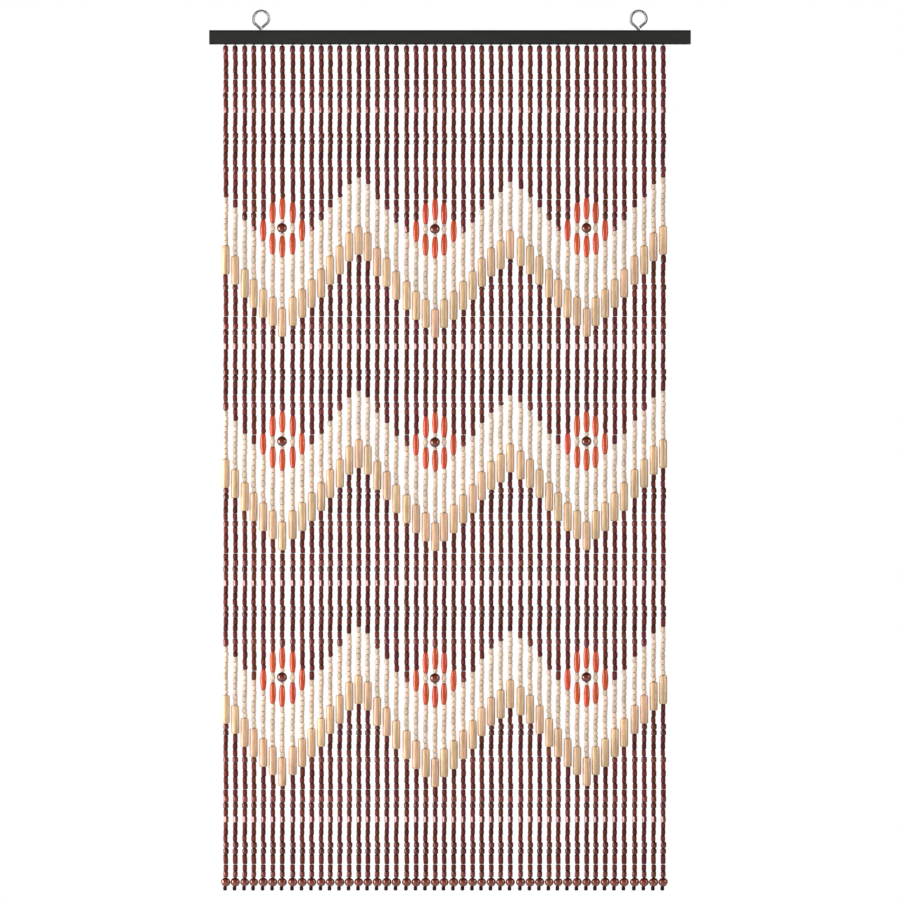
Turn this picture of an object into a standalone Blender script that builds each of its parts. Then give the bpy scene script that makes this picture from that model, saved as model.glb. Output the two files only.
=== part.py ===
"""Bead curtain: a painted rail on two screw eyes, with 47 strings of wooden beads under it.

Metres, +X to the right, the front faces -Y, +Z up. The origin lies midway between the two
eyes, at the height where hooks carry the insides of their rings. Every height below is
counted down from the rail's top face.
"""

import math

import bmesh
import bpy

# Fit between neighbouring pieces
GAP = 0.0003

# Screw eyes: one wire each, bent to a ring that narrows to its shank
WIRE_RADIUS = 0.0025
RING_RADIUS = 0.0144
RING_ABOVE_RAIL = 0.022
SHANK_IN_RAIL = 0.015
EYE_FROM_RAIL_END = 0.0972
RING_START_DEG = -30.0
RING_END_DEG = 180.0
RING_STEPS = 20
FREE_END = (0.0013, -0.0169)
# Bends of the leg that runs down to the shank, across and up from the ring's centre
SHANK_LEG = (
    (-0.0143, -0.0055),
    (-0.0138, -0.0074),
    (-0.0127, -0.0088),
    (-0.0035, -0.0169),
    (-0.0014, -0.0189),
    (-0.0004, -0.0202),
    (0.0000, -0.0218),
)

# Rail
RAIL_LENGTH = 0.900
RAIL_DEPTH = 0.020
RAIL_HEIGHT = 0.0263
RAIL_EDGE = 0.0008
HOLE_SIDES = 16
CUTTER_MARGIN = 0.002

# Strip that all the strings are fixed to, let into a groove under the rail
STRIP_WIDTH = 0.0054
STRIP_HEIGHT = 0.0047
STRIP_PAST_STRING = 0.006

# Strings: their places along the rail, which repeat every 12 steps
STRANDS = 47
FIRST_FROM_RAIL_END = 0.0308
STEP = 0.01776
CLOSE_STEP = 0.01685
WIDE_STEP = 0.0195
STEPS_IN_REPEAT = 12
CLOSE_STEPS = (2, 10)
WIDE_STEPS = (6,)

# Strings: their sides, ends and half-widths
STRAND_SIDES = 4
ROOT_IN_STRIP = 0.003
NECK_LENGTH = 0.0014
NECK_TAPER = 0.0012
NECK_RADIUS = 0.0018
STRAND_RADIUS = 0.0044
DROP = 1.608
FOOT_BALL_RADIUS = 0.0082
FOOT_BALL_DOWN = 1.5922
TIP_RADIUS = 0.0030

# Large beads
TUBE_LENGTH = 0.0537
TUBE_RADIUS = 0.0076
TUBE_ROUNDING = 0.002
OVAL_LENGTH = 0.0398
OVAL_RADIUS = 0.0056
OVAL_END_RADIUS = 0.0035
OVAL_TAPER = 0.011
FLOWER_BALL_RADIUS = 0.00945

# Rings of a ball: height and half-width, as shares of its radius
BALL_RINGS = ((0.85, 0.5), (0.35, 1.0), (-0.35, 1.0), (-0.85, 0.5))

# Zigzag: the lower end of the long bead at the foot of the first V, and the bands under it
FOOT_DOWN = 0.5729
BANDS_DOWN = (0.0, 0.3988, 0.8398)
# How far each string's long bead lies above the foot of its V, by strings from that foot
RISE = (0.0, 0.0205, 0.0356, 0.0542, 0.0732, 0.0975, 0.1167, 0.1410, 0.1534)
# Columns: string at the foot, how much lower its own beads hang, how much lower its sides hang
VALLEYS = (
    (6, 0.0, 0.0),
    (22, 0.0018, 0.0040),
    (38, 0.0, 0.0),
)
# Strings whose long beads were strung off the rule, and how much lower they hang
OFF_RULE = {15: -0.0043, 29: 0.0107, 30: 0.0040, 31: 0.0088}

# Flower over each foot: strings from its middle, and the heights of their oval beads' middles
FLOWER_ABOVE_FOOT = 0.2036
FLOWER = (
    (0, (0.0366, -0.0350)),
    (1, (0.0285, -0.0296)),
    (2, (-0.0043,)),
)

RAIL_TOP_Z = -(RING_ABOVE_RAIL + RING_RADIUS - WIRE_RADIUS)
RAIL_BOTTOM_Z = RAIL_TOP_Z - RAIL_HEIGHT
EYE_X = RAIL_LENGTH / 2 - EYE_FROM_RAIL_END


def clear_scene():
    for obj in list(bpy.data.objects):
        bpy.data.objects.remove(obj, do_unlink=True)


def new_collection(name):
    collection = bpy.data.collections.new(name)
    bpy.context.scene.collection.children.link(collection)
    return collection


def new_material(name, colour, roughness, metallic=0.0):
    material = bpy.data.materials.new(name)
    material.use_nodes = True
    shader = material.node_tree.nodes["Principled BSDF"]
    shader.inputs["Base Color"].default_value = (*colour, 1.0)
    shader.inputs["Roughness"].default_value = roughness
    shader.inputs["Metallic"].default_value = metallic
    return material


def move_to(obj, collection):
    for other in list(obj.users_collection):
        other.objects.unlink(obj)
    collection.objects.link(obj)


def hide_as_helper(obj, collection):
    move_to(obj, collection)
    obj.hide_render = True
    obj.display_type = "WIRE"


def add_box(name, low, high):
    """A box between two corners, with its scale applied."""
    middle = [(a + b) / 2 for a, b in zip(low, high)]
    bpy.ops.mesh.primitive_cube_add(size=1.0, location=middle)
    box = bpy.context.object
    box.name = name
    box.scale = [b - a for a, b in zip(low, high)]
    bpy.ops.object.transform_apply(location=False, rotation=False, scale=True)
    return box


def cut(obj, cutter):
    boolean = obj.modifiers.new("Cut " + cutter.name, "BOOLEAN")
    boolean.operation = "DIFFERENCE"
    boolean.solver = "EXACT"
    boolean.object = cutter


def strand_places():
    """Each string's place along the rail."""
    places = [-RAIL_LENGTH / 2 + FIRST_FROM_RAIL_END]
    for index in range(STRANDS - 1):
        turn = index % STEPS_IN_REPEAT
        step = STEP
        if turn in CLOSE_STEPS:
            step = CLOSE_STEP
        elif turn in WIDE_STEPS:
            step = WIDE_STEP
        places.append(places[-1] + step)
    return places


def nearest_valley(index):
    """The row of the V that a string belongs to, and its distance from that V's foot."""
    row = min(VALLEYS, key=lambda valley: abs(valley[0] - index))
    return row, abs(row[0] - index)


def tube_middle(index, band_down):
    """Height of the middle of a string's long bead in one band."""
    (_, own_lower, side_lower), steps = nearest_valley(index)
    lower = side_lower if steps else own_lower
    end_down = FOOT_DOWN + band_down + lower + OFF_RULE.get(index, 0.0) - RISE[steps]
    return RAIL_TOP_Z - end_down + TUBE_LENGTH / 2


def rings_at(middle, rings):
    return [(width, middle + height) for height, width in rings]


def tube_rings(middle):
    half = TUBE_LENGTH / 2
    return rings_at(
        middle,
        (
            (half, STRAND_RADIUS),
            (half - TUBE_ROUNDING, TUBE_RADIUS),
            (TUBE_ROUNDING - half, TUBE_RADIUS),
            (-half, STRAND_RADIUS),
        ),
    )


def oval_rings(middle):
    half = OVAL_LENGTH / 2
    return rings_at(
        middle,
        (
            (half, OVAL_END_RADIUS),
            (half - OVAL_TAPER, OVAL_RADIUS),
            (OVAL_TAPER - half, OVAL_RADIUS),
            (-half, OVAL_END_RADIUS),
        ),
    )


def ball_rings(middle, radius):
    return [(width * radius, middle + height * radius) for height, width in BALL_RINGS]


def flower_rings(index, band_down):
    """The oval beads and the ball that a string has in one band's flower, if any."""
    (_, own_lower, _), steps = nearest_valley(index)
    ovals = dict(FLOWER).get(steps)
    if ovals is None:
        return []
    middle = RAIL_TOP_Z - FOOT_DOWN - band_down - own_lower + FLOWER_ABOVE_FOOT
    rings = [(STRAND_RADIUS, middle + ovals[0] + OVAL_LENGTH / 2)]
    rings += oval_rings(middle + ovals[0])
    if len(ovals) == 2:
        rings += ball_rings(middle, FLOWER_BALL_RADIUS) if steps == 0 else [(STRAND_RADIUS, middle)]
        rings += oval_rings(middle + ovals[1])
    rings.append((STRAND_RADIUS, middle + ovals[-1] - OVAL_LENGTH / 2))
    return rings


def strand_rings(index):
    """Half-width and height down one string, from its root in the strip to its tip."""
    neck_end = RAIL_BOTTOM_Z - NECK_LENGTH
    rings = [
        (NECK_RADIUS, RAIL_BOTTOM_Z + ROOT_IN_STRIP),
        (NECK_RADIUS, neck_end),
        (STRAND_RADIUS, neck_end - NECK_TAPER),
    ]
    for band_down in BANDS_DOWN:
        rings += flower_rings(index, band_down)
        rings += tube_rings(tube_middle(index, band_down))
    rings += ball_rings(RAIL_TOP_Z - FOOT_BALL_DOWN, FOOT_BALL_RADIUS)
    rings.append((TIP_RADIUS, RAIL_TOP_Z - DROP))
    return rings


def make_strand(index, place, collection):
    """One string as a turned shape of four sides, with corners at its front, back and flanks."""
    rings = strand_rings(index)
    outline = [(0.0, rings[0][1])] + rings + [(0.0, rings[-1][1])]
    mesh = bpy.data.meshes.new(f"strand_{index:02d}")
    shape = bmesh.new()
    points = [shape.verts.new((width, 0.0, height)) for width, height in outline]
    for upper, lower in zip(points, points[1:]):
        shape.edges.new((upper, lower))
    shape.to_mesh(mesh)
    shape.free()
    strand = bpy.data.objects.new(mesh.name, mesh)
    strand.location.x = place
    collection.objects.link(strand)
    hide_as_helper(strand, collection)
    turn = strand.modifiers.new("Turn", "SCREW")
    turn.steps = STRAND_SIDES
    turn.render_steps = STRAND_SIDES
    turn.use_merge_vertices = True
    turn.merge_threshold = 0.00001
    turn.use_smooth_shade = False
    return strand


def make_bead_strands(parts, helpers):
    """The strip with every string fused to it."""
    places = strand_places()
    strands = new_collection("strand_members")
    strands.hide_render = True
    helpers.children.link(strands)
    bpy.context.scene.collection.children.unlink(strands)
    for index, place in enumerate(places):
        make_strand(index, place, strands)
    strip = add_box(
        "bead_strands",
        (places[0] - STRIP_PAST_STRING, -STRIP_WIDTH / 2, RAIL_BOTTOM_Z),
        (places[-1] + STRIP_PAST_STRING, STRIP_WIDTH / 2, RAIL_BOTTOM_Z + STRIP_HEIGHT),
    )
    move_to(strip, parts)
    union = strip.modifiers.new("Fuse strings", "BOOLEAN")
    union.operation = "UNION"
    union.solver = "EXACT"
    union.operand_type = "COLLECTION"
    union.collection = strands
    strip.data.materials.append(new_material("dark_beads", (0.125, 0.037, 0.026), 0.3))
    return strip


def make_rail(parts, helpers):
    """The rail, with the groove for the strip and a hole for each eye's shank."""
    rail = add_box(
        "rail",
        (-RAIL_LENGTH / 2, -RAIL_DEPTH / 2, RAIL_BOTTOM_Z),
        (RAIL_LENGTH / 2, RAIL_DEPTH / 2, RAIL_TOP_Z),
    )
    move_to(rail, parts)
    edges = rail.modifiers.new("Edges", "BEVEL")
    edges.width = RAIL_EDGE
    edges.segments = 2
    places = strand_places()
    groove = add_box(
        "groove",
        (
            places[0] - STRIP_PAST_STRING - GAP,
            -STRIP_WIDTH / 2 - GAP,
            RAIL_BOTTOM_Z - CUTTER_MARGIN,
        ),
        (
            places[-1] + STRIP_PAST_STRING + GAP,
            STRIP_WIDTH / 2 + GAP,
            RAIL_BOTTOM_Z + STRIP_HEIGHT + GAP,
        ),
    )
    hide_as_helper(groove, helpers)
    cut(rail, groove)
    hole_depth = SHANK_IN_RAIL + GAP + CUTTER_MARGIN
    for side, x in (("left", -EYE_X), ("right", EYE_X)):
        bpy.ops.mesh.primitive_cylinder_add(
            vertices=HOLE_SIDES,
            radius=WIRE_RADIUS + GAP,
            depth=hole_depth,
            location=(x, 0.0, RAIL_TOP_Z + CUTTER_MARGIN - hole_depth / 2),
        )
        hole = bpy.context.object
        hole.name = f"hole_{side}"
        hide_as_helper(hole, helpers)
        cut(rail, hole)
    rail.data.materials.append(new_material("rail_paint", (0.032, 0.031, 0.029), 0.5))
    return rail


def eye_line():
    """Middle line of an eye's wire: its free end, round the ring and down the shank."""
    line = [FREE_END]
    for step in range(RING_STEPS + 1):
        share = step / RING_STEPS
        angle = math.radians(RING_START_DEG + share * (RING_END_DEG - RING_START_DEG))
        line.append((RING_RADIUS * math.cos(angle), RING_RADIUS * math.sin(angle)))
    line += SHANK_LEG
    line.append((0.0, -RING_ABOVE_RAIL - SHANK_IN_RAIL))
    return line


def make_eyes(parts):
    """Both screw eyes, each placed by its ring's centre."""
    line = eye_line()
    wire = bpy.data.curves.new("eye_wire", "CURVE")
    wire.dimensions = "3D"
    wire.bevel_depth = WIRE_RADIUS
    wire.bevel_resolution = 2
    wire.use_fill_caps = True
    spline = wire.splines.new("POLY")
    spline.points.add(len(line) - 1)
    for point, (across, up) in zip(spline.points, line):
        point.co = (across, 0.0, up, 1.0)
    wire.materials.append(new_material("eye_steel", (0.62, 0.62, 0.61), 0.25, 1.0))
    eyes = []
    for side, x in (("left", -EYE_X), ("right", EYE_X)):
        eye = bpy.data.objects.new(f"eye_{side}", wire)
        eye.location = (x, 0.0, RAIL_TOP_Z + RING_ABOVE_RAIL)
        parts.objects.link(eye)
        eyes.append(eye)
    return eyes


def main():
    clear_scene()
    parts = new_collection("bead_curtain")
    helpers = new_collection("helpers")
    hanging_line = bpy.data.objects.new("hanging_line", None)
    parts.objects.link(hanging_line)
    pieces = [make_rail(parts, helpers), make_bead_strands(parts, helpers)]
    pieces += make_eyes(parts)
    for piece in pieces:
        piece.parent = hanging_line


main()
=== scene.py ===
"""Looks of the bead curtain: each bead, the threads, lacquer, wood, paint, light and camera.

Metres, +X to the right, the front faces -Y, +Z up. Heights on a string are counted down
from the rail's top face, as in the CAD source.
"""

import math
import random

import bpy
import numpy as np
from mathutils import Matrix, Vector


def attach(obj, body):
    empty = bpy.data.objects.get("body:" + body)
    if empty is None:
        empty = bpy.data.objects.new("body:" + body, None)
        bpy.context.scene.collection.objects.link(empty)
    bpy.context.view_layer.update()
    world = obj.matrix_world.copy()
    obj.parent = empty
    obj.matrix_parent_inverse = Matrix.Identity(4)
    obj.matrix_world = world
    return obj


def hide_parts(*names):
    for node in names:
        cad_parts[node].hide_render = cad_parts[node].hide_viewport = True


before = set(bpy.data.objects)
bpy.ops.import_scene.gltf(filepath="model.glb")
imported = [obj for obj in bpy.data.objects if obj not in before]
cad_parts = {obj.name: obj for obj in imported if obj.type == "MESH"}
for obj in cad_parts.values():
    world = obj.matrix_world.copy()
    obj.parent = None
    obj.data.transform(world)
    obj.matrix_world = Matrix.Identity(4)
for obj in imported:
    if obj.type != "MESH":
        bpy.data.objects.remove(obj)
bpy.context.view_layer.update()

random.seed(47)

# Rail, as in the CAD source
RAIL_TOP_Z = -0.0339
RAIL_HEIGHT = 0.0263
RAIL_BOTTOM_Z = RAIL_TOP_Z - RAIL_HEIGHT
RAIL_LENGTH = 0.900

# Strings, as in the CAD source
STRANDS = 47
FIRST_FROM_RAIL_END = 0.0308
STEP = 0.01776
CLOSE_STEP = 0.01685
WIDE_STEP = 0.0195
STEPS_IN_REPEAT = 12
CLOSE_STEPS = (2, 10)
WIDE_STEPS = (6,)
DROP = 1.608

# Zigzag and flowers, as in the CAD source: the foot of the first V and the bands under it,
# and how far each string's long bead lies above the foot of its V
FOOT_DOWN = 0.5729
BANDS_DOWN = (0.0, 0.3988, 0.8398)
RISE = (0.0, 0.0205, 0.0356, 0.0542, 0.0732, 0.0975, 0.1167, 0.1410, 0.1534)
# String at the foot of a V, how much lower its own beads hang, how much lower its sides hang
VALLEYS = (
    (6, 0.0, 0.0),
    (22, 0.0018, 0.0040),
    (38, 0.0, 0.0),
)
# Strings whose long beads were strung off the rule, and how much lower they hang
OFF_RULE = {15: -0.0043, 29: 0.0107, 30: 0.0040, 31: 0.0088}
# Oval beads by strings from a flower's middle: heights of their middles over its own
FLOWER_ABOVE_FOOT = 0.2036
FLOWER = {0: (0.0366, -0.0350), 1: (0.0285, -0.0296), 2: (-0.0043,)}

# Large beads; a shoulder has, from the end inwards, how far it lies inside the radius and
# how far from the end
TUBE_LENGTH = 0.0537
TUBE_RADIUS = 0.0077
TUBE_SHOULDER = (
    (0.0024, 0.0),
    (0.0014, 0.0004),
    (0.0007, 0.0012),
    (0.0003, 0.0026),
    (0.0001, 0.0060),
    (0.0, 0.0140),
)
OVAL_LENGTH = 0.0398
OVAL_RADIUS = 0.0060
OVAL_SHOULDER = (
    (0.0027, 0.0),
    (0.0021, 0.0008),
    (0.0015, 0.0030),
    (0.0010, 0.0060),
    (0.0005, 0.0100),
    (0.0, 0.0150),
)
FLOWER_BALL_RADIUS = 0.0097
FLOWER_BALL_SHIFT = -0.0004
FOOT_BALL_RADIUS = 0.0088
BALL_CLEARANCE = 0.00005
FOOT_BALL_DOWN = 1.5922
TIP_RADIUS = 0.0036
TIP_SHIFT = -0.0014
TIP_IN_BALL = 0.90

# Pale beads inside a flower: the one between two ovals, its neighbours, and those at the ball
CENTRE_BEAD_LENGTH = 0.0100
CENTRE_BEAD_RADIUS = 0.0047
DISC_RADIUS = 0.0040
BALL_SPACER_RADIUS = 0.004324

# Thread with its knot, which starts inside the groove and shows under the rail
THREAD_RADIUS = 0.00055
THREAD_END_IN_TIP = 0.001
KNOT_RADIUS = 0.0022
KNOT_TOP_RADIUS = 0.00154
KNOT_IN_GROOVE = 0.0012
KNOT_LENGTH = 0.0014
KNOT_SHOULDER = 0.0006
KNOT_TAPER = 0.0005

# Tape in the rail's groove that carries the knots, with a hollow round each of them
TAPE_HALF_DEPTH = 0.0026
TAPE_HEIGHT = 0.0046
TAPE_PAST_STRING = 0.0058
TAPE_END = 0.0004
TAPE_END_SHARE = 0.9
HOLLOW_DEPTH = 0.0003
HOLLOW_INNER = 0.0018
HOLLOW_OUTER = 0.0030
# Outline of the tape's end, as shares of its half depth and height
TAPE_OUTLINE = (
    (-1.0, 0.12),
    (-0.86, 0.0),
    (0.86, 0.0),
    (1.0, 0.12),
    (1.0, 0.88),
    (0.86, 1.0),
    (-0.86, 1.0),
    (-1.0, 0.88),
)

MM = 0.001

# Space between two beads
SEAM = 0.00003

# Run of 18 small dark beads, which every string repeats from the same heights, in mm:
# length, diameter, sideways shift, lean in degrees, shade, gloss, gap under the bead
FIRST_BEAD_DOWN = 0.0283
RUNS_DOWN = (-0.1291, 0.0922, 0.3165, 0.5352, 0.7564, 0.9779, 1.1980, 1.4193, 1.6406)
DARK_RUN = (
    (11.2, 9.4, 0.2, 0.0, 0.92, 0.30, 0.00),
    (12.8, 9.8, 0.7, 0.0, 1.38, 0.60, 0.00),
    (12.0, 10.4, 0.1, -2.0, 0.72, 0.75, 0.10),
    (13.4, 8.9, 0.1, 0.0, 1.05, 0.15, 0.00),
    (12.6, 9.7, 0.4, 0.0, 1.00, 1.00, 0.00),
    (12.2, 8.6, 0.1, 0.0, 0.84, 0.05, 0.00),
    (11.1, 8.8, 0.1, 0.0, 0.78, 0.35, 0.00),
    (12.2, 8.7, -0.4, -1.0, 1.04, 0.15, 0.00),
    (12.0, 10.7, 0.7, 0.0, 0.86, 1.00, 0.00),
    (11.5, 10.6, 0.5, 0.0, 0.70, 0.90, 0.00),
    (14.0, 9.0, 0.2, 0.0, 0.92, 0.40, 0.00),
    (11.5, 9.1, -0.1, 0.0, 0.64, 0.05, 0.20),
    (12.9, 8.7, -0.4, -1.5, 1.10, 0.20, 0.20),
    (12.7, 10.6, 0.3, 0.0, 1.08, 0.80, 0.00),
    (12.9, 9.0, 0.2, 0.0, 1.25, 0.25, 0.00),
    (12.4, 9.2, 0.7, 0.0, 0.88, 0.20, 0.00),
    (12.5, 8.8, 0.1, 0.0, 0.93, 0.30, 0.00),
    (11.6, 9.2, 0.9, 0.0, 0.95, 0.20, 0.60),
)
# The first bead under the rail is wider and more purple than its place in the run says
TOP_BEAD = (10.2, 0.0, 0.0, 1.05, 0.80, 0.0)
TOP_BEAD_HUE = -0.25
# The bead with a cut side: its place in the run, where the side faces in degrees, and how
# much paler it is painted at the cut and at its edges: paler cut wood, and a painted highlight
FACET_BEAD = 4
FACET_ANGLE = -127.5
CUT_WOOD_AND_HIGHLIGHT = 2.2
CUT_EDGE_WOOD_AND_HIGHLIGHT = 1.7
# Beads wider than this many mm have rounded sides
BARREL_OVER = 9.95
# Beads with more gloss than this have the glossy finish
GLOSSY_OVER = 0.5
# A bead is strung where at least this share of it fits
LEAST_PART = 0.45

# Last small beads above the round bead at the foot: where each starts, then as in the run
FOOT_RUN = (
    (1540.7, 9.3, 0.1, -1.5, 0.88, 0.15, 0.90),
    (1559.4, 9.0, 0.1, 0.0, 0.92, 0.10, 0.00),
    (1571.6, 9.3, 0.2, 1.0, 1.10, 0.60, 0.00),
)
FOOT_RUN_DOWN = FOOT_RUN[0][0] * MM

# Run of nine pale beads above a long bead, from the top: length, diameter, shift, shade
PALE_RUN = (
    (10.3, 9.0, -0.2, 0.97),
    (9.4, 8.1, 0.9, 1.10),
    (9.9, 9.1, 0.5, 1.04),
    (10.3, 8.9, 0.2, 0.97),
    (9.7, 8.9, -0.2, 0.90),
    (11.2, 9.1, -0.4, 0.88),
    (10.3, 8.7, -0.1, 1.06),
    (10.3, 9.2, -0.2, 1.00),
    (9.3, 8.5, 0.6, 1.06),
)
PALE_RUN_LENGTH = 0.0907
# A stretch shorter than this has no room for the first of them
SHORT_RUN_UNDER = 0.0845

# Eased end of a small straight bead: inset of its face and of its side, and the ease's length
END_INSET = 0.0012
SIDE_INSET = 0.0002
EASE = 0.0011
# Half of a small rounded bead, from the end: width and height as shares of the middle's
BARREL_HALF = ((0.52, 1.0), (0.80, 0.86), (0.96, 0.52))
# A ball's flat round the thread, as the angle from its axis in degrees
BALL_FLAT = 12.0

SMALL_SIDES = 12
SMALL_TURN = 2 * math.pi / SMALL_SIDES
TUBE_SIDES = 20
OVAL_SIDES = 16
BALL_SIDES = 24
THREAD_SIDES = 8

# How far single beads stray from the charted values, as standard deviations: metres for
# radii and places, degrees for lean and for the cut side, shares for shades
DARK_STRAY = {"radius": 0.00008, "place": 0.00012, "lean": 0.8, "tone": 0.09, "hue": 0.14, "gloss": 0.05}
PALE_STRAY = {"radius": 0.00010, "place": 0.00015, "lean": 1.6, "tone": 0.03, "hue": 0.2}
PALE_EXTRA_RADIUS = 0.00006
PALE_ROUNDED_SHARE = 0.45
OVAL_STRAY = {"place": 0.0002, "lean": 0.4, "tone": 0.05, "hue": 0.25}
TUBE_STRAY = {"place": 0.00015, "lean": 0.25, "tone": 0.035}
FACET_STRAY = 1.5

# Hue of a string's dark beads, 0 for purplish to 1 for brown: its middle, how far it swings
# from string to string, and the swing's step and start in radians
STRING_HUE = 0.42
HUE_SWING = 0.22
HUE_STEP = 2.4
HUE_START = 0.7
STRING_STRAY = {"hue": 0.07, "dark": 0.05, "pale": 0.02, "ball": 0.08, "tip": 0.08}
FLOWER_BALL_TONE = 0.84
FLOWER_BALL_HUE = 0.60
FOOT_BALL_TONE = 1.06
FOOT_BALL_HUE_OVER = 0.15


class Turned:
    """Many turned shapes joined in one mesh, with finish values kept for each point."""

    VALUES = ("tone", "hue", "gloss", "along", "grain")

    def __init__(self):
        self.points = []
        self.faces = []
        self.flat = []
        self.values = {name: [] for name in self.VALUES}
        self.count = 0

    def add(self, x, z, profile, sides, turn=0.0, lean=0.0, facet=None, **values):
        """One shape round an upright line at x; profile has (radius, height) from the top."""
        rings = np.array(profile)
        angles = (turn if facet is None else facet) + 2 * math.pi * np.arange(sides) / sides
        across = rings[:, 0:1] * np.cos(angles)
        deep = rings[:, 0:1] * np.sin(angles)
        if facet is not None:
            cut_facet(across)
            cut_facet(deep)
        up = np.repeat(rings[:, 1:2], sides, axis=1)
        body = np.stack([across, deep, up], axis=-1).reshape(-1, 3)
        ends = [[[0.0, 0.0, rings[0, 1]]], body, [[0.0, 0.0, rings[-1, 1]]]]
        points = np.concatenate(ends)
        slope = math.tan(math.radians(lean))
        points[:, 0] += x + slope * points[:, 2]
        points[:, 2] += z
        first = self.count
        faces, flat = turned_faces(len(rings), sides, facet is not None)
        self.faces += [[first + corner for corner in face] for face in faces]
        self.flat += flat
        self.points.append(points)
        self.count += len(points)
        top, bottom = rings[0, 1], rings[-1, 1]
        values["along"] = (points[:, 2] - z - bottom) / (top - bottom)
        # The cut side is painted paler: paler cut wood, and a painted highlight
        if facet is not None:
            values["tone"] = values["tone"] * facet_wood_and_highlight_tones(len(rings), sides)
        for name in self.VALUES:
            self.values[name].append(np.broadcast_to(values.get(name, 0.5), len(points)))

    def build(self, name, material, slot):
        """The mesh as a piece that rides on the root body in place of the plain strings."""
        mesh = bpy.data.meshes.new(name)
        mesh.from_pydata(np.concatenate(self.points).tolist(), [], self.faces)
        mesh.polygons.foreach_set("use_smooth", [not flat for flat in self.flat])
        for key in self.VALUES:
            layer = mesh.attributes.new(key, "FLOAT", "POINT")
            layer.data.foreach_set("value", np.concatenate(self.values[key]).astype(np.float32))
        mesh.materials.append(material)
        mesh.update()
        piece = bpy.data.objects.new(name, mesh)
        bpy.context.scene.collection.objects.link(piece)
        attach(piece, "root")
        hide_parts("bead_strands")
        return piece


FACE_LISTS = {}


def turned_faces(rings, sides, facet):
    """Faces of one turned shape, and which of them belong to a flat facet."""
    key = (rings, sides, facet)
    if key in FACE_LISTS:
        return FACE_LISTS[key]
    faces = []
    flat = []
    last = 1 + rings * sides
    for side in range(sides):
        after = (side + 1) % sides
        on_facet = facet and side in (0, sides - 1)
        faces.append((0, 1 + side, 1 + after))
        flat.append(False)
        for ring in range(rings - 1):
            upper = 1 + ring * sides
            lower = upper + sides
            faces.append((upper + side, lower + side, lower + after, upper + after))
            flat.append(on_facet and 0 < ring < rings - 2)
        faces.append((last, last - sides + after, last - sides + side))
        flat.append(False)
    FACE_LISTS[key] = (faces, flat)
    return FACE_LISTS[key]


def cut_facet(places):
    """Moves point 0 of every ring midway between its neighbours, which makes one flat side."""
    places[:, 0] = (places[:, 1] + places[:, -1]) / 2


def facet_wood_and_highlight_tones(rings, sides):
    """Shade of each point of a shape with a facet: paler where it is cut, for paler cut wood and as a
    painted highlight.
    """
    across = np.ones(sides)
    across[0] = CUT_WOOD_AND_HIGHLIGHT
    across[[1, -1]] = CUT_EDGE_WOOD_AND_HIGHLIGHT
    return np.concatenate([[1.0], np.tile(across, rings), [1.0]])


def cylinder_profile(length, radius):
    """A short cylinder with eased ends."""
    half = length / 2
    return (
        (radius - END_INSET, half),
        (radius - SIDE_INSET, half - EASE),
        (radius, 0.0),
        (radius - SIDE_INSET, EASE - half),
        (radius - END_INSET, -half),
    )


def barrel_profile(length, radius):
    """A bead with rounded sides."""
    half = length / 2
    upper = [(wide * radius, high * half) for wide, high in BARREL_HALF]
    return upper + [(radius, 0.0)] + lower_half(upper)


def shouldered_profile(length, radius, shoulder):
    """A long bead with flat ends, whose sides follow a shoulder at both ends."""
    upper = [(radius - inset, length / 2 - down) for inset, down in shoulder]
    return upper + lower_half(upper)


def lower_half(upper):
    return [(radius, -height) for radius, height in reversed(upper)]


def ball_profile(radius, rings=12):
    """A ball that is cut a little flat where the thread goes in and out."""
    profile = []
    for ring in range(rings + 1):
        angle = math.radians(BALL_FLAT + (180.0 - 2 * BALL_FLAT) * ring / rings)
        profile.append((radius * math.sin(angle), radius * math.cos(angle)))
    return profile


def strand_places():
    """Each string's place along the rail."""
    places = [-RAIL_LENGTH / 2 + FIRST_FROM_RAIL_END]
    for index in range(STRANDS - 1):
        turn = index % STEPS_IN_REPEAT
        step = STEP
        if turn in CLOSE_STEPS:
            step = CLOSE_STEP
        elif turn in WIDE_STEPS:
            step = WIDE_STEP
        places.append(places[-1] + step)
    return places


def nearest_valley(index):
    """The row of the V that a string belongs to, and its distance from that V's foot."""
    row = min(VALLEYS, key=lambda valley: abs(valley[0] - index))
    return row, abs(row[0] - index)


def tube_bottom_down(index, band_down):
    """Where a string's long bead ends in one band."""
    (_, own_lower, side_lower), steps = nearest_valley(index)
    lower = side_lower if steps else own_lower
    return FOOT_DOWN + band_down + lower + OFF_RULE.get(index, 0.0) - RISE[steps]


def dark_beads():
    """Every small dark bead of a full string: where it starts and ends, and its row."""
    beads = []
    for top, end in zip(RUNS_DOWN, RUNS_DOWN[1:]):
        unit = (end - top) / sum(row[0] for row in DARK_RUN)
        for number, (length, *finish) in enumerate(DARK_RUN):
            bottom = top + length * unit
            if FIRST_BEAD_DOWN < (top + bottom) / 2 < FOOT_RUN_DOWN:
                beads.append([top, bottom, finish, number])
            top = bottom
    beads[0][0] = FIRST_BEAD_DOWN
    beads[0][2] = TOP_BEAD
    beads[-1][1] = FOOT_RUN_DOWN
    ends = [row[0] * MM for row in FOOT_RUN[1:]] + [FOOT_BALL_DOWN - FOOT_BALL_RADIUS]
    for (start, *finish), end in zip(FOOT_RUN, ends):
        beads.append([start * MM, end, finish, None])
    return beads


ALL_DARK = dark_beads()


def dark_beads_between(top, bottom):
    """The small dark beads of one stretch; a bead cut too short joins the next."""
    inside = []
    for start, end, finish, number in ALL_DARK:
        low, high = max(start, top), min(end, bottom)
        if high - low > LEAST_PART * (end - start):
            inside.append([low, high, finish, number])
    inside[0][0] = top
    *rest, _ = inside[-1][2]
    inside[-1][1:3] = bottom, [*rest, 0.0]
    return inside


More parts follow.
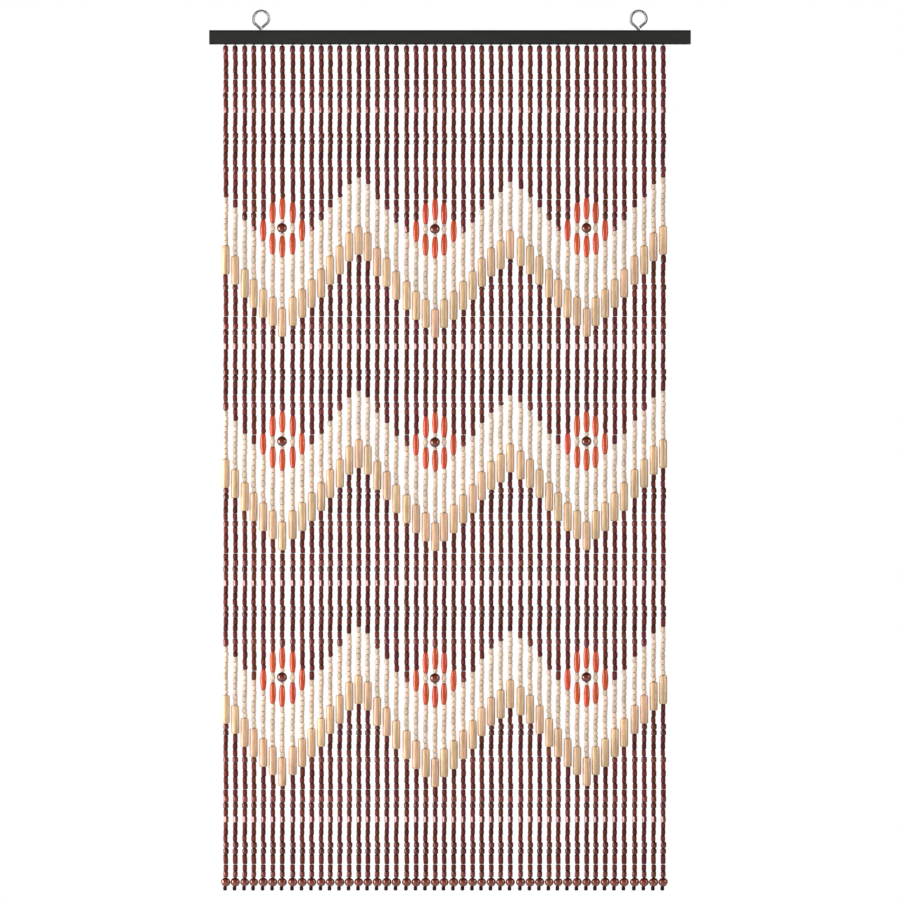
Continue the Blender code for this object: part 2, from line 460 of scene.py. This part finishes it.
def add_dark(makers, index, x, top, bottom, string_hue, grade):
    """One stretch of small dark beads on a string: dull and glossy ones, and those with a cut side."""
    dull = makers[f"dull_{3 * index // STRANDS}"]
    glossy = makers[f"glossy_{2 * index // STRANDS}"]
    stray = DARK_STRAY
    for start, end, finish, number in dark_beads_between(top, bottom):
        diameter, shift, lean, tone, gloss, gap = finish
        length = end - start - SEAM - gap * MM
        own_hue = TOP_BEAD_HUE if start == FIRST_BEAD_DOWN else 0.0
        radius = diameter * MM / 2 + random.gauss(0.0, stray["radius"])
        shape = barrel_profile if diameter > BARREL_OVER else cylinder_profile
        beads = glossy if gloss > GLOSSY_OVER else dull
        facet = None
        if number == FACET_BEAD:
            beads = makers["cut"]
            facet = math.radians(FACET_ANGLE + random.gauss(0.0, FACET_STRAY))
        beads.add(
            x + shift * MM + random.gauss(0.0, stray["place"]),
            RAIL_TOP_Z - start - SEAM / 2 - length / 2,
            shape(length, radius),
            SMALL_SIDES,
            turn=random.uniform(0.0, SMALL_TURN),
            lean=lean + random.gauss(0.0, stray["lean"]),
            facet=facet,
            tone=tone * grade * random.gauss(1.0, stray["tone"]),
            hue=string_hue + random.gauss(0.0, stray["hue"]) + own_hue,
            gloss=min(max(gloss + random.gauss(0.0, stray["gloss"]), 0.0), 1.0),
            grain=random.random(),
        )


def add_pale(beads, x, top, bottom, grade):
    """One run of small pale beads; a short run leaves its first bead out."""
    rows = PALE_RUN if bottom - top > SHORT_RUN_UNDER else PALE_RUN[1:]
    unit = (bottom - top) / sum(row[0] for row in rows)
    start = top
    stray = PALE_STRAY
    for length, diameter, shift, tone in rows:
        height = length * unit
        radius = diameter * MM / 2 + random.gauss(PALE_EXTRA_RADIUS, stray["radius"])
        shape = barrel_profile if random.random() < PALE_ROUNDED_SHARE else cylinder_profile
        beads.add(
            x + shift * MM + random.gauss(0.0, stray["place"]),
            RAIL_TOP_Z - start - height / 2,
            shape(height - SEAM, radius),
            SMALL_SIDES,
            turn=random.uniform(0.0, SMALL_TURN),
            lean=random.gauss(0.0, stray["lean"]),
            tone=tone * grade * random.gauss(1.0, stray["tone"]),
            hue=random.gauss(0.5, stray["hue"]),
            gloss=random.uniform(0.2, 0.6),
            grain=random.random(),
        )
        start += height


def add_one(beads, x, middle_down, profile, sides, **values):
    """One large bead with its own small differences."""
    beads.add(
        x,
        RAIL_TOP_Z - middle_down,
        profile,
        sides,
        turn=random.uniform(0.0, math.pi),
        grain=random.random(),
        **values,
    )


def add_flower(makers, pale, index, x, band_down):
    """A string's share of one flower, with where it starts and ends; None if it has none."""
    (_, own_lower, _), steps = nearest_valley(index)
    if steps not in FLOWER:
        return None
    middle = FOOT_DOWN + band_down + own_lower - FLOWER_ABOVE_FOOT
    ovals = [middle - height for height in FLOWER[steps]]
    for oval in ovals:
        add_one(
            makers["coral"],
            x + random.gauss(0.0, OVAL_STRAY["place"]),
            oval,
            shouldered_profile(OVAL_LENGTH, OVAL_RADIUS, OVAL_SHOULDER),
            OVAL_SIDES,
            lean=random.gauss(0.0, OVAL_STRAY["lean"]),
            tone=random.gauss(1.0, OVAL_STRAY["tone"]),
            hue=random.gauss(0.5, OVAL_STRAY["hue"]),
        )
    if steps == 0:
        add_one(
            makers["balls"],
            x + FLOWER_BALL_SHIFT,
            middle,
            ball_profile(FLOWER_BALL_RADIUS),
            BALL_SIDES,
            tone=FLOWER_BALL_TONE,
            hue=FLOWER_BALL_HUE,
            gloss=1.0,
        )
        spaces = (
            (ovals[0] + OVAL_LENGTH / 2, middle - FLOWER_BALL_RADIUS),
            (middle + FLOWER_BALL_RADIUS, ovals[1] - OVAL_LENGTH / 2),
        )
        for top, bottom in spaces:
            add_spacer(pale, x, top, bottom, BALL_SPACER_RADIUS, 1.05)
    elif steps == 1:
        half = CENTRE_BEAD_LENGTH / 2
        space_top = ovals[0] + OVAL_LENGTH / 2
        space_bottom = ovals[1] - OVAL_LENGTH / 2
        space_middle = (space_top + space_bottom) / 2
        add_spacer(pale, x, space_top, space_middle - half, DISC_RADIUS, 0.98)
        add_one(
            pale,
            x,
            space_middle,
            barrel_profile(CENTRE_BEAD_LENGTH - SEAM, CENTRE_BEAD_RADIUS),
            SMALL_SIDES,
            tone=1.12,
            hue=0.6,
            gloss=0.6,
        )
        add_spacer(pale, x, space_middle + half, space_bottom, DISC_RADIUS, 0.98)
    return ovals[0] - OVAL_LENGTH / 2, ovals[-1] + OVAL_LENGTH / 2


def add_spacer(pale, x, top, bottom, radius, tone):
    """A short pale bead between two heights."""
    add_one(
        pale,
        x,
        (top + bottom) / 2,
        cylinder_profile(bottom - top - SEAM, radius),
        SMALL_SIDES,
        tone=tone,
        hue=0.35,
        gloss=0.3,
    )


def foot_ball_radius(places, index):
    """The round bead at a string's foot is as large as the strings beside it leave room for."""
    here = places[index]
    room = min(abs(place - here) for place in places if place != here)
    return min(FOOT_BALL_RADIUS, room / 2 - BALL_CLEARANCE)


def add_string(makers, index, x, ball_radius):
    """All the beads of one string, from the rail down."""
    swing = HUE_SWING * math.sin(HUE_STEP * index + HUE_START)
    string_hue = STRING_HUE + swing + random.gauss(0.0, STRING_STRAY["hue"])
    grade = random.gauss(1.0, STRING_STRAY["dark"])
    pale_grade = random.gauss(1.0, STRING_STRAY["pale"])
    pale = makers[f"pale_{2 * index // STRANDS}"]
    cursor = FIRST_BEAD_DOWN
    for band_down in BANDS_DOWN:
        tube_bottom = tube_bottom_down(index, band_down)
        tube_top = tube_bottom - TUBE_LENGTH
        flower = add_flower(makers, pale, index, x, band_down)
        pale_top = flower[1] if flower else tube_top - PALE_RUN_LENGTH
        dark_end = flower[0] if flower else pale_top
        add_dark(makers, index, x, cursor, dark_end, string_hue, grade)
        add_pale(pale, x, pale_top, tube_top, pale_grade)
        add_one(
            makers["tan"],
            x + random.gauss(0.0, TUBE_STRAY["place"]),
            tube_bottom - TUBE_LENGTH / 2,
            shouldered_profile(TUBE_LENGTH, TUBE_RADIUS, TUBE_SHOULDER),
            TUBE_SIDES,
            lean=random.gauss(0.0, TUBE_STRAY["lean"]),
            tone=random.gauss(1.0, TUBE_STRAY["tone"]),
            hue=random.uniform(0.0, 1.0),
        )
        cursor = tube_bottom
    add_dark(makers, index, x, cursor, FOOT_BALL_DOWN - ball_radius, string_hue, grade)
    add_one(
        makers["balls"],
        x,
        FOOT_BALL_DOWN,
        ball_profile(ball_radius),
        BALL_SIDES,
        tone=random.gauss(FOOT_BALL_TONE, STRING_STRAY["ball"]),
        hue=min(max(string_hue + FOOT_BALL_HUE_OVER, 0.0), 1.0),
        gloss=1.0,
    )
    tip_top = FOOT_BALL_DOWN + TIP_IN_BALL * ball_radius
    add_one(
        makers["tips"],
        x + TIP_SHIFT,
        (tip_top + DROP) / 2,
        cylinder_profile(DROP - tip_top, TIP_RADIUS),
        SMALL_SIDES,
        tone=random.gauss(1.0, STRING_STRAY["tip"]),
    )
    add_thread(makers["threads"], x)


def add_thread(threads, x):
    """The thread of one string, with its knot under the rail."""
    top = RAIL_BOTTOM_Z + KNOT_IN_GROOVE
    bottom = RAIL_TOP_Z - DROP + THREAD_END_IN_TIP
    half = (top - bottom) / 2
    knot_end = half - KNOT_IN_GROOVE - KNOT_LENGTH
    profile = (
        (KNOT_TOP_RADIUS, half),
        (KNOT_RADIUS, half - KNOT_SHOULDER),
        (KNOT_RADIUS, knot_end + KNOT_TAPER),
        (THREAD_RADIUS, knot_end),
        (THREAD_RADIUS, -half),
    )
    threads.add(x, (top + bottom) / 2, profile, THREAD_SIDES, grain=random.random())


def make_tape(places, material):
    """The tape in the rail's groove, hollow underneath at each string's knot."""
    left = places[0] - TAPE_PAST_STRING
    right = places[-1] + TAPE_PAST_STRING
    # Stations along the tape: place, how much narrower, how much hollowed
    stations = [(left, TAPE_END_SHARE, 0.0), (left + TAPE_END, 1.0, 0.0)]
    for place in places:
        stations.append((place - HOLLOW_OUTER, 1.0, 0.0))
        stations.append((place - HOLLOW_INNER, 1.0, HOLLOW_DEPTH))
        stations.append((place + HOLLOW_INNER, 1.0, HOLLOW_DEPTH))
        stations.append((place + HOLLOW_OUTER, 1.0, 0.0))
    stations += [(right - TAPE_END, 1.0, 0.0), (right, TAPE_END_SHARE, 0.0)]
    points = []
    for station, share, hollow in stations:
        for deep, high in TAPE_OUTLINE:
            bottom = RAIL_BOTTOM_Z + hollow * (1.0 - high)
            points.append((station, share * deep * TAPE_HALF_DEPTH, bottom + high * TAPE_HEIGHT))
    sides = len(TAPE_OUTLINE)
    faces = [tuple(range(sides))]
    for number in range(len(stations) - 1):
        first = number * sides
        for side in range(sides):
            after = (side + 1) % sides
            faces.append((first + side, first + sides + side, first + sides + after, first + after))
    faces.append(tuple(reversed(range((len(stations) - 1) * sides, len(stations) * sides))))
    mesh = bpy.data.meshes.new("tape")
    mesh.from_pydata(points, [], faces)
    mesh.materials.append(material)
    mesh.update()
    tape = bpy.data.objects.new("tape", mesh)
    bpy.context.scene.collection.objects.link(tape)
    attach(tape, "root")
    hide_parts("bead_strands")
    return tape


class Finish:
    """A node material under construction."""

    def __init__(self, name, roughness, specular, tint=(1.0, 1.0, 1.0), metallic=0.0, coat=0.0):
        self.material = bpy.data.materials.new(name)
        self.material.use_nodes = True
        self.nodes = self.material.node_tree.nodes
        self.links = self.material.node_tree.links
        self.shader = self.nodes["Principled BSDF"]
        self.shader.inputs["Roughness"].default_value = roughness
        self.shader.inputs["Specular IOR Level"].default_value = specular
        self.shader.inputs["Metallic"].default_value = metallic
        self.shader.inputs["Coat Weight"].default_value = coat
        self.shader.inputs["Coat Roughness"].default_value = 0.08
        self.shader.inputs["Specular Tint"].default_value = (*tint, 1.0)

    def value(self, name):
        node = self.nodes.new("ShaderNodeAttribute")
        node.attribute_name = name
        return node.outputs["Fac"]

    def ramp(self, source, stops):
        """Colour over a value; stops are (position, colour)."""
        node = self.nodes.new("ShaderNodeValToRGB")
        elements = node.color_ramp.elements
        while len(elements) < len(stops):
            elements.new(0.5)
        for element, (position, colour) in zip(elements, stops):
            element.position = position
            element.color = (*colour, 1.0)
        self.links.new(source, node.inputs["Fac"])
        return node.outputs["Color"]

    def span(self, source, low, high, from_low=0.0, from_high=1.0):
        node = self.nodes.new("ShaderNodeMapRange")
        node.inputs["From Min"].default_value = from_low
        node.inputs["From Max"].default_value = from_high
        node.inputs["To Min"].default_value = low
        node.inputs["To Max"].default_value = high
        self.links.new(source, node.inputs["Value"])
        return node.outputs["Result"]

    def noise(self, scale, detail=2.0, shift_by=None):
        """Noise stretched by a scale for each axis, moved along by a bead's own value."""
        place = self.nodes.new("ShaderNodeTexCoord").outputs["Object"]
        stretch = self.nodes.new("ShaderNodeMapping")
        stretch.inputs["Scale"].default_value = scale
        self.links.new(place, stretch.inputs["Vector"])
        texture = self.nodes.new("ShaderNodeTexNoise")
        texture.noise_dimensions = "4D"
        texture.inputs["Scale"].default_value = 1.0
        texture.inputs["Detail"].default_value = detail
        self.links.new(stretch.outputs["Vector"], texture.inputs["Vector"])
        if shift_by is not None:
            self.links.new(self.times(shift_by, 60.0), texture.inputs["W"])
        return texture.outputs["Fac"]

    def times(self, first, second):
        node = self.nodes.new("ShaderNodeMath")
        node.operation = "MULTIPLY"
        self.connect(first, node.inputs[0])
        self.connect(second, node.inputs[1])
        return node.outputs["Value"]

    def connect(self, source, socket):
        if isinstance(source, (int, float)):
            socket.default_value = source
        else:
            self.links.new(source, socket)

    def shade(self, colour, amount):
        """A colour made lighter or darker by an amount."""
        node = self.nodes.new("ShaderNodeVectorMath")
        node.operation = "SCALE"
        self.links.new(colour, node.inputs["Vector"])
        self.connect(amount, node.inputs["Scale"])
        return node.outputs["Vector"]

    def multiply(self, first, second):
        """Two colours, channel by channel."""
        node = self.nodes.new("ShaderNodeVectorMath")
        node.operation = "MULTIPLY"
        self.links.new(first, node.inputs[0])
        self.links.new(second, node.inputs[1])
        return node.outputs["Vector"]

    def bump(self, height, strength, distance):
        node = self.nodes.new("ShaderNodeBump")
        node.inputs["Strength"].default_value = strength
        node.inputs["Distance"].default_value = distance
        self.links.new(height, node.inputs["Height"])
        self.links.new(node.outputs["Normal"], self.shader.inputs["Normal"])

    def colour(self, source):
        self.links.new(source, self.shader.inputs["Base Color"])

    def roughness(self, source):
        self.links.new(source, self.shader.inputs["Roughness"])


# Painted shade at both ends of a dark bead, where it meets the next one
DARK_ENDS_PAINTED_SHADE = (
    (0.0, (0.22, 0.19, 0.19)),
    (0.11, (0.80, 0.78, 0.78)),
    (0.20, (1.10, 1.10, 1.10)),
    (0.80, (1.10, 1.10, 1.10)),
    (0.89, (0.75, 0.73, 0.73)),
    (1.0, (0.20, 0.17, 0.17)),
)
# Painted shade: a round bead darker towards its top and bottom, a painted dark rim
BALL_RIM_PAINTED_SHADE = (
    (0.0, (0.16, 0.16, 0.16)),
    (0.12, (0.35, 0.35, 0.35)),
    (0.32, (1.0, 1.0, 1.0)),
    (0.62, (1.0, 1.0, 1.0)),
    (0.84, (0.32, 0.32, 0.32)),
    (1.0, (0.12, 0.12, 0.12)),
)


def dark_finish(name, specular, roughest, smoothest, tint=(1.0, 0.72, 0.68)):
    """Stained and lacquered wood, from purplish over red-brown to brown."""
    finish = Finish(name, roughest, specular, tint)
    stain = finish.ramp(
        finish.value("hue"),
        ((0.0, (0.106, 0.018, 0.026)), (0.5, (0.125, 0.023, 0.017)), (1.0, (0.113, 0.032, 0.013))),
    )
    grain = finish.noise((900.0, 900.0, 90.0), 3.0, finish.value("grain"))
    wood = finish.shade(stain, finish.span(grain, 0.72, 1.28, 0.3, 0.7))
    # Painted shade at the bead's ends, where it meets its neighbours
    wood = finish.multiply(wood, finish.ramp(finish.value("along"), DARK_ENDS_PAINTED_SHADE))
    finish.colour(finish.shade(wood, finish.value("tone")))
    finish.roughness(finish.span(finish.value("gloss"), roughest, smoothest))
    return finish.material


def ball_finish():
    """Round beads: the same stain, redder and under a clear thick lacquer."""
    finish = Finish("ball_beads", 0.12, 0.8, tint=(1.0, 0.74, 0.66), coat=0.6)
    stain = finish.ramp(
        finish.value("hue"),
        ((0.0, (0.130, 0.014, 0.010)), (0.5, (0.155, 0.020, 0.009)), (1.0, (0.170, 0.034, 0.010))),
    )
    grain = finish.noise((500.0, 500.0, 160.0), 3.0, finish.value("grain"))
    wood = finish.shade(stain, finish.span(grain, 0.75, 1.25, 0.3, 0.7))
    # Painted shade: dark rim towards the ball's top and bottom
    wood = finish.multiply(wood, finish.ramp(finish.value("along"), BALL_RIM_PAINTED_SHADE))
    finish.colour(finish.shade(wood, finish.value("tone")))
    return finish.material


# Painted shade, brownish, where two pale beads meet, along each bead
PALE_SEAM_PAINTED_SHADE = (
    (0.0, (0.50, 0.42, 0.34)),
    (0.07, (0.86, 0.84, 0.80)),
    (0.16, (1.0, 1.0, 1.0)),
    (0.86, (1.0, 1.0, 1.0)),
    (0.94, (0.88, 0.86, 0.82)),
    (1.0, (0.56, 0.48, 0.40)),
)


def pale_finish():
    """Bare pale wood under a thin satin varnish."""
    finish = Finish("pale_beads", 0.45, 0.4)
    wood = finish.ramp(
        finish.value("hue"),
        ((0.0, (0.65, 0.47, 0.39)), (0.5, (0.64, 0.49, 0.37)), (1.0, (0.63, 0.51, 0.36))),
    )
    # Painted shade where two pale beads meet
    seam_painted_shade = finish.ramp(finish.value("along"), PALE_SEAM_PAINTED_SHADE)
    wood = finish.multiply(wood, seam_painted_shade)
    grain = finish.noise((800.0, 800.0, 120.0), 3.0, finish.value("grain"))
    wood = finish.shade(wood, finish.span(grain, 0.88, 1.10, 0.3, 0.7))
    finish.colour(finish.shade(wood, finish.value("tone")))
    finish.roughness(finish.span(finish.value("gloss"), 0.6, 0.35))
    return finish.material


# Painted shade: long beads darker at both cut ends, where they meet the next bead, more at the top
TUBE_ENDS_PAINTED_SHADE = (
    (0.0, (0.70, 0.62, 0.54)),
    (0.025, (1.0, 1.0, 1.0)),
    (0.965, (1.0, 1.0, 1.0)),
    (1.0, (0.40, 0.32, 0.26)),
)


def tan_finish():
    """Long beads: tan wood with upright grain, painted a little paler at the top as painted light from
    above.
    """
    finish = Finish("tan_tubes", 0.30, 0.60)
    wood = finish.ramp(
        finish.value("hue"),
        ((0.0, (0.61, 0.36, 0.22)), (0.5, (0.61, 0.385, 0.21)), (1.0, (0.59, 0.40, 0.22))),
    )
    streaks = finish.noise((430.0, 430.0, 24.0), 4.0, finish.value("grain"))
    fine = finish.noise((1500.0, 1500.0, 70.0), 2.0, finish.value("grain"))
    wood = finish.shade(wood, finish.span(streaks, 0.66, 1.22, 0.32, 0.68))
    wood = finish.shade(wood, finish.span(fine, 0.92, 1.08, 0.3, 0.7))
    # Painted light: paler towards the top, as if lit from above
    wood = finish.shade(wood, finish.span(finish.value("along"), 0.92, 1.08))
    # Painted shade at both ends of the long bead
    wood = finish.multiply(wood, finish.ramp(finish.value("along"), TUBE_ENDS_PAINTED_SHADE))
    finish.colour(finish.shade(wood, finish.value("tone")))
    finish.bump(streaks, 0.25, 0.0002)
    return finish.material


# Oval beads darker towards both ends
CORAL_ENDS = (
    (0.0, (0.35, 0.35, 0.35)),
    (0.03, (0.85, 0.85, 0.85)),
    (0.10, (1.0, 1.0, 1.0)),
    (0.90, (0.95, 0.95, 0.95)),
    (0.97, (0.75, 0.75, 0.75)),
    (1.0, (0.35, 0.35, 0.35)),
)


def coral_finish():
    """Oval beads: glossy coral lacquer."""
    finish = Finish("coral_beads", 0.18, 0.45, tint=(1.0, 0.62, 0.46), coat=0.4)
    lacquer = finish.ramp(
        finish.value("hue"),
        ((0.0, (0.53, 0.054, 0.028)), (0.5, (0.54, 0.062, 0.020)), (1.0, (0.52, 0.074, 0.018))),
    )
    ends = finish.ramp(finish.value("along"), CORAL_ENDS)
    cloud = finish.noise((260.0, 260.0, 60.0), 2.0, finish.value("grain"))
    lacquer = finish.shade(lacquer, finish.span(cloud, 0.86, 1.12, 0.3, 0.7))
    lacquer = finish.shade(lacquer, finish.value("tone"))
    finish.colour(finish.shade(lacquer, ends))
    return finish.material


def tip_finish():
    """Small end beads, nearly black at the bottom."""
    finish = Finish("end_beads", 0.45, 0.08)
    stain = finish.ramp(
        finish.value("along"),
        ((0.0, (0.008, 0.004, 0.006)), (0.55, (0.028, 0.006, 0.010)), (1.0, (0.080, 0.012, 0.016))),
    )
    grain = finish.noise((900.0, 900.0, 90.0), 2.0, finish.value("grain"))
    stain = finish.shade(stain, finish.span(grain, 0.85, 1.15, 0.3, 0.7))
    finish.colour(finish.shade(stain, finish.value("tone")))
    return finish.material


def cord_finish():
    """Dark waxed thread and tape, with a fine twist."""
    finish = Finish("cord", 0.7, 0.3)
    twist = finish.noise((700.0, 700.0, 2400.0), 2.0)
    fibre = finish.ramp(twist, ((0.3, (0.070, 0.034, 0.028)), (0.7, (0.130, 0.066, 0.052))))
    finish.colour(fibre)
    finish.bump(twist, 0.4, 0.0002)
    return finish.material


# Painted shade: the rail is darker along its lower (0) and upper (1) edges
RAIL_EDGES_PAINTED_SHADE = (
    (0.05, (0.35, 0.35, 0.35)),
    (0.11, (1.0, 1.0, 1.0)),
    (0.85, (1.0, 1.0, 1.0)),
    (0.91, (0.30, 0.30, 0.30)),
)


def rail_finish():
    """Satin charcoal paint, rubbed a little thinner in places."""
    finish = Finish("rail_paint", 0.5, 0.22)
    mottle = finish.noise((14.0, 60.0, 60.0), 3.0)
    paint = finish.ramp(mottle, ((0.3, (0.0191, 0.0191, 0.0179)), (0.7, (0.0231, 0.0226, 0.0205))))
    upright = finish.nodes.new("ShaderNodeSeparateXYZ")
    finish.links.new(finish.nodes.new("ShaderNodeTexCoord").outputs["Generated"], upright.inputs["Vector"])
    # Painted shade along the rail's upper and lower edges
    finish.colour(finish.multiply(paint, finish.ramp(upright.outputs["Z"], RAIL_EDGES_PAINTED_SHADE)))
    brush = finish.noise((8.0, 900.0, 900.0), 2.0)
    finish.roughness(finish.span(brush, 0.44, 0.58, 0.3, 0.7))
    finish.bump(brush, 0.12, 0.0002)
    return finish.material


def eye_finish():
    """Bright plated wire with faint drawing marks."""
    finish = Finish("eye_steel", 0.26, 0.5, metallic=1.0)
    marks = finish.noise((300.0, 300.0, 300.0), 3.0)
    plate = finish.ramp(marks, ((0.3, (0.66, 0.66, 0.66)), (0.7, (0.76, 0.76, 0.76))))
    finish.colour(plate)
    finish.roughness(finish.span(marks, 0.22, 0.30, 0.3, 0.7))
    return finish.material


def dress_cad(node, material):
    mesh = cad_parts[node].data
    mesh.materials.clear()
    mesh.materials.append(material)


def make_beads():
    """Every bead, thread and knot, and the tape that carries them."""
    names = (
        "dull_0", "dull_1", "dull_2", "glossy_0", "glossy_1", "cut",
        "pale_0", "pale_1", "tan", "coral", "balls", "tips", "threads",
    )
    makers = {name: Turned() for name in names}
    places = strand_places()
    for index, x in enumerate(places):
        add_string(makers, index, x, foot_ball_radius(places, index))
    dull = dark_finish("dull_beads", 0.15, 0.60, 0.42)
    glossy = dark_finish("glossy_beads", 0.65, 0.36, 0.22)
    cut = dark_finish("cut_beads", 0.75, 0.26, 0.24, tint=(1.0, 0.86, 0.84))
    pale = pale_finish()
    cord = cord_finish()
    for number in range(3):
        makers[f"dull_{number}"].build(f"dull_beads_{number}", dull, "dark_beads")
    for number in range(2):
        makers[f"glossy_{number}"].build(f"glossy_beads_{number}", glossy, "dark_beads")
        makers[f"pale_{number}"].build(f"small_pale_beads_{number}", pale, "pale_beads")
    makers["cut"].build("cut_beads", cut, "dark_beads")
    makers["tan"].build("long_beads", tan_finish(), "tan_tubes")
    makers["coral"].build("oval_beads", coral_finish(), "coral_beads")
    makers["balls"].build("round_beads", ball_finish(), "dark_beads")
    makers["tips"].build("end_beads", tip_finish(), "dark_beads")
    makers["threads"].build("threads", cord, "cord")
    make_tape(places, cord)


# Studio: everything is aimed at the middle of the curtain
AIM = Vector((0.0, 0.0, -0.8184))
FLOOR_Z = -2.04
FLOOR_RADIUS = 2.6
FLOOR_SIDES = 96
CAMERA_LENS = 300.0
SENSOR_WIDTH = 36.0
VIEW_WIDTH = 1.6826

# Softboxes: name, azimuth and elevation in degrees, distance, width, height, power, whether
# it lights the matt part of a surface, whether it shows in the shine, and the pieces it is for
SHINY = ("round_beads", "oval_beads", "long_beads")
EYES = ("eye_left", "eye_right")
SOFTBOXES = (
    ("left_softbox", -82.0, -7.0, 3.2, 2.6, 2.2, 205.0, True, True, None),
    ("right_fill", 66.0, 0.0, 3.2, 2.6, 2.4, 36.0, True, False, None),
    ("right_strip", 64.0, 6.0, 3.2, 0.7, 2.0, 50.0, False, True, SHINY),
    ("eye_strip", 0.0, 20.0, 2.2, 3.4, 2.4, 30.0, False, True, EYES),
    ("top_fill", -8.0, 48.0, 3.4, 3.0, 2.2, 50.0, True, False, None),
    ("low_fill", 0.0, -42.0, 1.55, 2.4, 0.8, 3.0, True, False, None),
    ("overhead", 0.0, 90.0, 3.6, 3.6, 3.6, 110.0, True, False, None),
    ("back_light", 180.0, 8.0, 3.4, 2.4, 2.4, 60.0, True, True, None),
)

# Light of the room from the front (0) round to the back (1)
ROOM_LIGHT = ((0.0, 0.34), (0.03, 0.26), (0.10, 0.12), (0.5, 0.05), (1.0, 0.14))


def direction(azimuth, elevation):
    """Unit vector from the middle towards an azimuth, 0 at the front, and an elevation."""
    across = math.radians(azimuth)
    up = math.radians(elevation)
    return Vector((math.sin(across) * math.cos(up), -math.cos(across) * math.cos(up), math.sin(up)))


def make_lights():
    for name, azimuth, elevation, distance, width, height, power, matt, shine, only in SOFTBOXES:
        data = bpy.data.lights.new(name, "AREA")
        data.shape = "RECTANGLE"
        data.size = width
        data.size_y = height
        data.energy = power
        light = bpy.data.objects.new(name, data)
        away = direction(azimuth, elevation)
        light.location = AIM + away * distance
        light.rotation_euler = (-away).to_track_quat("-Z", "Y").to_euler()
        light.visible_camera = False
        light.visible_diffuse = matt
        light.visible_glossy = shine
        bpy.context.scene.collection.objects.link(light)
        if only:
            group = bpy.data.collections.new(f"lit_by_{name}")
            for piece in only:
                group.objects.link(bpy.data.objects[piece])
            light.light_linking.receiver_collection = group


def make_world():
    """White to the camera; to the beads a dim room, lighter in front than behind."""
    world = bpy.data.worlds.new("studio")
    world.use_nodes = True
    nodes = world.node_tree.nodes
    links = world.node_tree.links
    background = nodes["Background"]
    place = nodes.new("ShaderNodeTexCoord")
    split = nodes.new("ShaderNodeSeparateXYZ")
    links.new(place.outputs["Generated"], split.inputs["Vector"])
    depth = nodes.new("ShaderNodeMapRange")
    depth.inputs["From Min"].default_value = -1.0
    depth.inputs["From Max"].default_value = 1.0
    links.new(split.outputs["Y"], depth.inputs["Value"])
    room = nodes.new("ShaderNodeValToRGB")
    elements = room.color_ramp.elements
    while len(elements) < len(ROOM_LIGHT):
        elements.new(0.5)
    for element, (position, level) in zip(elements, ROOM_LIGHT):
        element.position = position
        element.color = (level, level, level, 1.0)
    links.new(depth.outputs["Result"], room.inputs["Fac"])
    seen = nodes.new("ShaderNodeLightPath")
    mix = nodes.new("ShaderNodeMix")
    mix.data_type = "RGBA"
    links.new(seen.outputs["Is Camera Ray"], mix.inputs["Factor"])
    links.new(room.outputs["Color"], mix.inputs["A"])
    mix.inputs["B"].default_value = (1.0, 1.0, 1.0, 1.0)
    links.new(mix.outputs["Result"], background.inputs["Color"])
    bpy.context.scene.world = world


def make_floor():
    """A plain pale disc on the floor, well under the curtain's tips."""
    finish = Finish("floor", 0.8, 0.2)
    mottle = finish.noise((3.0, 3.0, 3.0), 2.0)
    finish.colour(finish.ramp(mottle, ((0.3, (0.80, 0.80, 0.79)), (0.7, (0.83, 0.83, 0.82)))))
    points = []
    for height in (0.0, -0.02):
        for side in range(FLOOR_SIDES):
            angle = 2 * math.pi * side / FLOOR_SIDES
            across = FLOOR_RADIUS * math.cos(angle)
            deep = FLOOR_RADIUS * math.sin(angle)
            points.append((across, deep, FLOOR_Z + height))
    faces = [tuple(range(FLOOR_SIDES)), tuple(reversed(range(FLOOR_SIDES, 2 * FLOOR_SIDES)))]
    for side in range(FLOOR_SIDES):
        after = (side + 1) % FLOOR_SIDES
        faces.append((side, FLOOR_SIDES + side, FLOOR_SIDES + after, after))
    mesh = bpy.data.meshes.new("floor")
    mesh.from_pydata(points, [], faces)
    mesh.materials.append(finish.material)
    floor = bpy.data.objects.new("floor", mesh)
    bpy.context.scene.collection.objects.link(floor)


def make_camera():
    data = bpy.data.cameras.new("camera")
    data.lens = CAMERA_LENS
    data.sensor_width = SENSOR_WIDTH
    data.clip_end = 40.0
    camera = bpy.data.objects.new("camera", data)
    distance = VIEW_WIDTH * CAMERA_LENS / SENSOR_WIDTH
    camera.location = AIM + Vector((0.0, -distance, 0.0))
    camera.rotation_euler = (math.pi / 2, 0.0, 0.0)
    bpy.context.scene.collection.objects.link(camera)
    bpy.context.scene.camera = camera


make_beads()
dress_cad("rail", rail_finish())
eye_material = eye_finish()
dress_cad("eye_left", eye_material)
dress_cad("eye_right", eye_material)
make_lights()
make_world()
make_floor()
make_camera()
bpy.context.scene.view_settings.view_transform = "Standard"
